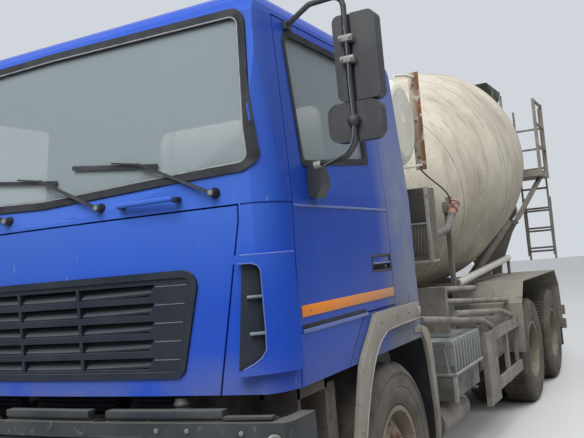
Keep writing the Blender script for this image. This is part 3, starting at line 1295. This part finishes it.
battery = {
    "count": 10,
    "pitch": 0.079,
    "firstX": 1.148,
    "ridgeWide": 0.046,
    "ridgeInset": 0.004,
    "topY": (0.618, 1.212),
    "topZ": (0.998, 1.030),
    "topSunk": 0.012,
    "sideY": (1.198, 1.214),
    "sideZ": (0.800, 1.012),
    "straps": [((1.918, 0.640, 0.786), (1.934, 1.222, 0.806)), ((1.135, 1.208, 0.786), (1.934, 1.224, 0.806)),
               ((1.900, 1.190, 0.600), (1.926, 1.218, 0.800))],
    "hook": [(0.012, -0.004), (0.020, -0.004), (0.020, 0.004), (0.012, 0.004)],
    "hookPlace": (1.930, 1.150, 1.000),
    "rod": [(1.936, 1.150, 0.985), (1.938, 1.160, 0.90), (1.934, 1.170, 0.806)],
    "rodRadius": 0.005,
}
x0, x1 = battery["firstX"], battery["firstX"] + battery["ridgeWide"]
ridge = [block("ridge", (x0, battery["topY"][0], battery["topZ"][0] - battery["topSunk"]),
               (x1, battery["topY"][1], battery["topZ"][1]), 0.013, 3),
         block("ridge", (x0 + battery["ridgeInset"], battery["sideY"][0], battery["sideZ"][0]),
               (x1 - battery["ridgeInset"], battery["sideY"][1], battery["sideZ"][1]), 0.005, 2)]
ridge = joined("batteryRidges", ridge)
ridges = [ridge] + [copied(ridge, (battery["pitch"] * i, 0, 0)) for i in range(1, battery["count"])]
settle(joined("batteryRidges", ridges), "chassis", "batteryGrey", 50)
strap = [block("strap", *plate, 0.004) for plate in battery["straps"]]
strap.append(turned("strapHook", battery["hook"], battery["hookPlace"], (1, 0, 0), 24))
strap.append(pipe("strapRod", battery["rod"], battery["rodRadius"]))
settle(joined("batteryStrap", strap), "chassis", "edgePale", 40)

# Pale brace pole and the platform's tread bars

brace = {"ends": [(0.100, 0.800, 1.342), (-2.330, 0.800, 1.4945)], "radius": 0.0385}
treads = {
    "firstX": -4.230,
    "wide": 0.008,
    "y": (0.615, 1.105),
    "z": (2.639, 2.647),
    "pitch": 0.040,
    "count": 17,
}
settle(pipe("bracePole", brace["ends"], brace["radius"], 5), "chassis", "tankCream", 60)
firstBar = block("platformBars", (treads["firstX"], treads["y"][0], treads["z"][0]),
                 (treads["firstX"] + treads["wide"], treads["y"][1], treads["z"][1]), 0.002)
treadBars = [firstBar] + [copied(firstBar, (treads["pitch"] * i, 0, 0)) for i in range(1, treads["count"])]
settle(joined("platformBars", treadBars), "chassis", "dustySteel")

# Rear lamps and bolts on the under-run bar, and mud flaps

lamps = {
    "x": (-3.972, -3.953),
    "z": (0.634, 0.736),
    "spans": ((0.835, 0.945), (0.950, 1.045), (1.050, 1.165)),
    "looks": ("lampRed", "lampAmber", "lampRed"),
    "lensLeast": 0.004,
}
flap = {
    "plate": ((-3.192, 0.600, 0.300), (-3.182, 1.225, 0.640)),
    "ribX": (-3.196, -3.190),
    "ribY": (0.620, 0.635),
    "ribZ": (0.320, 0.620),
    "pitch": 0.066,
    "count": 9,
}
underrun = {"x": -3.979, "y": (0.20, 0.60, 1.05), "z": (0.465, 0.525)}
for number, ((y0, y1), material) in enumerate(zip(lamps["spans"], lamps["looks"])):
    lens = block("rearLamp%dLeft" % number, (lamps["x"][0], y0, lamps["z"][0]),
                 (lamps["x"][1], y1, lamps["z"][1]), 0.006, 3)
    pick(lens, lambda face: face.normal.x < -0.9 and face.calc_area() > lamps["lensLeast"])
    bpy.ops.mesh.inset(thickness=0.008, depth=0.003)
    bpy.ops.object.mode_set(mode="OBJECT")
    pair(lens, "chassis", material, 40)
flapParts = [block("flap", *flap["plate"], 0.003)]
for i in range(flap["count"]):
    low, high = zip(flap["ribX"], [y + flap["pitch"] * i for y in flap["ribY"]], flap["ribZ"])
    flapParts.append(block("flapRib", low, high, 0.002))
pair(joined("mudFlapLeft", flapParts), "chassis", "flapRubber", 40)
pair(boltSet("underrunBoltsLeft", [(underrun["x"], y, z) for y in underrun["y"] for z in underrun["z"]],
             (-1, 0, 0), 0.011, 0.009), "chassis", "nutSteel", 30)
print("rear details made")

# Grille: wire screen behind the louvres, a dark gap and a pale edge along each

screen = {
    "plate": ((4.356, -0.700, 1.250), (4.364, 0.700, 1.670)),
    "wire": ((4.364, -0.690, 1.262), (4.370, 0.690, 1.266)),
    "pitch": 0.022,
    "count": 18,
}
louvres = {
    "low": 1.265,
    "pitch": 0.080,
    "count": 5,
    "gap": (0.0445, 0.0530),
    "gapProud": 0.0008,
    "edge": (0.0405, 0.0440),
    "edgeProud": 0.0026,
    "sunk": 0.004,
    "from": 0.598,
    "shift": 0.008,
    "to": 0.728,
    "lean": 0.19,
    "steps": 3,
}
wire = block("wire", *screen["wire"], 0.0006, 1)
screenParts = [block("screen", *screen["plate"], 0.003), wire]
screenParts += [copied(wire, (0, 0, screen["pitch"] * i)) for i in range(1, screen["count"])]
settle(joined("grilleScreen", screenParts), "hood", "gapBlack")


def louvreStrips(name, low, high, proud):
    strips = []
    for i in range(louvres["count"]):
        z = louvres["low"] + i * louvres["pitch"]
        y0 = louvres["from"] + louvres["shift"] * i
        y1 = louvres["to"] + louvres["lean"] * i * louvres["pitch"]
        ys = [y0 + (y1 - y0) * step / louvres["steps"] for step in range(louvres["steps"] + 1)]
        face = [cabShape["front"] - y * y / (2 * cabShape["bow"]) for y in ys]
        outline = [(x + proud, y) for x, y in zip(face, ys)]
        outline += [(x - louvres["sunk"], y) for x, y in zip(face[::-1], ys[::-1])]
        strips.append(plank("louvreStrip", outline, z + low, z + high, 0))
    return joined(name, strips + [opposite(strip) for strip in strips])


settle(louvreStrips("louvreGaps", *louvres["gap"], louvres["gapProud"]), "hood", "gapBlack")
settle(louvreStrips("louvreEdges", *louvres["edge"], louvres["edgeProud"]), "hood", "slatePale")

# Defroster slots on the dashboard

defrost = {"slot": ((4.205, -0.93, 2.068), (4.235, -0.70, 2.0815)), "pitch": 0.27, "count": 7}
slot = block("slot", *defrost["slot"], 0.004)
slots = [slot] + [copied(slot, (0, defrost["pitch"] * i, 0)) for i in range(1, defrost["count"])]
settle(joined("defrostSlots", slots), "cab", "gapBlack", 40)

# Seats: pedestal, crowned cushions with sewn panels

seat = {
    "side": 0.600,
    "cushion": ((3.112, -0.240, 1.440), (3.628, 0.240, 1.560)),
    "back": ((3.075, -0.235, 1.560), (3.175, 0.235, 2.195)),
    "head": ((2.995, -0.125, 2.205), (3.070, 0.125, 2.375)),
    "pedestal": ((3.090, -0.175, 1.2065), (3.560, 0.175, 1.452)),
    "panels": (("cushion", "z", 0.050), ("back", "x", 0.045), ("head", "x", 0.012)),
    "corner": 0.030,
    "rimDepths": (-0.002, 0.003),
    "seam": ((0.004, -0.005), (0.006, 0.008)),
    "backLean": -0.222,
    "backFoot": (3.170, 0, 1.560),
}


def cushion(name, low, high, topAxis, rim):
    piece = block(name, low, high, seat["corner"], 3)
    pick(piece, lambda face: face.normal["xyz".index(topAxis)] > 0.95)
    sunk, raised = seat["rimDepths"]
    for thickness, depth in ((rim, sunk), *seat["seam"], (rim, raised)):
        bpy.ops.mesh.inset(thickness=thickness, depth=depth)
    bpy.ops.object.mode_set(mode="OBJECT")
    finished(piece, "SUBSURF", levels=2, render_levels=2)
    return piece


for side, sign in (("Left", 1), ("Right", -1)):
    shift = Vector((0, sign * seat["side"], 0))
    parts = {}
    for part, axis, rim in seat["panels"]:
        low, high = (Vector(corner) + shift for corner in seat[part])
        parts[part] = cushion("seat" + part.title() + side, low, high, axis, rim)
    pick(parts["back"], lambda vertex: True, "verts")
    bpy.ops.transform.rotate(value=seat["backLean"], orient_axis="Y", center_override=seat["backFoot"])
    bpy.ops.object.mode_set(mode="OBJECT")
    for part in parts.values():
        settle(part, "cab", "seatCloth", 60)
    low, high = (Vector(corner) + shift for corner in seat["pedestal"])
    box = settle(block("seatPedestal" + side, low, high, 0.008), "cab", "gapBlack")
    if sign > 0:
        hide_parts("seats")
print("cab inside dressed")

# Ground, sky and lamps

stage = {
    "floorHalf": 60.0,
    "floorColour": (0.66, 0.655, 0.64),
    "floorBounce": (0.28, 0.27, 0.25),
    "skyColour": (0.74, 0.78, 0.84),
    "skyLow": 0.30,
    "skyHigh": 1.05,
    "skySeen": 0.86,
    "skyFrom": -0.1,
    "skyTo": 0.8,
    "keyPlace": (13.0, 1.0, 11.0),
    "keyAim": (1, 0, 1.5),
    "keyWatts": 1900.0,
    "lampSize": 9.0,
    "fillPlace": (-1.0, 7.0, 14.0),
    "fillAim": (-2, 0, 1.5),
    "fillWatts": 800.0,
}


def aimedLamp(name, place, target, watts, size):
    bpy.ops.object.light_add(type="AREA", location=place)
    lamp = bpy.context.object
    lamp.name = name
    lamp.data.energy = watts
    lamp.data.size = size
    lamp.rotation_euler = (Vector(target) - Vector(place)).to_track_quat("-Z", "Y").to_euler()


bpy.ops.object.select_all(action="DESELECT")
bpy.ops.mesh.primitive_plane_add(size=2 * stage["floorHalf"], location=(0, 0, 0))
floor = bpy.context.object
floor.name = "floor"
floorPaint = finish("floorPaint", stage["floorColour"], 0.9)
floorTree = floorPaint.node_tree
paths = addNode(floorTree, "ShaderNodeLightPath").outputs
bounce = mixed(floorTree, paths["Is Diffuse Ray"], (*stage["floorColour"], 1), (*stage["floorBounce"], 1))
floorTree.links.new(bounce, floorTree.nodes["Principled BSDF"].inputs["Base Color"])
floor.data.materials.append(floorPaint)
for lamp in ("key", "fill"):
    aimedLamp(lamp + "Lamp", stage[lamp + "Place"], stage[lamp + "Aim"], stage[lamp + "Watts"],
              stage["lampSize"])
world = bpy.data.worlds.new("paleSky")
bpy.context.scene.world = world
world.use_nodes = True
skyTree = world.node_tree
background = skyTree.nodes["Background"]
background.inputs["Color"].default_value = (*stage["skyColour"], 1)
# The camera sees an even sky, while the light from it grows with height
paths = addNode(skyTree, "ShaderNodeLightPath").outputs
seen = addNode(skyTree, "ShaderNodeMath", {0: paths["Is Camera Ray"], 1: paths["Is Transmission Ray"]},
               operation="MAXIMUM").outputs[0]
view = addNode(skyTree, "ShaderNodeTexCoord").outputs["Generated"]
up = addNode(skyTree, "ShaderNodeSeparateXYZ", {"Vector": view}).outputs["Z"]
overcast = addNode(skyTree, "ShaderNodeMapRange", {
    "Value": up, "From Min": stage["skyFrom"], "From Max": stage["skyTo"], "To Min": stage["skyLow"],
    "To Max": stage["skyHigh"]}).outputs[0]
glow = addNode(skyTree, "ShaderNodeMapRange", {"Value": seen, "To Min": overcast, "To Max": stage["skySeen"]})
skyTree.links.new(glow.outputs[0], background.inputs["Strength"])
bpy.context.scene.view_settings.view_transform = "Standard"
print("stage lit")
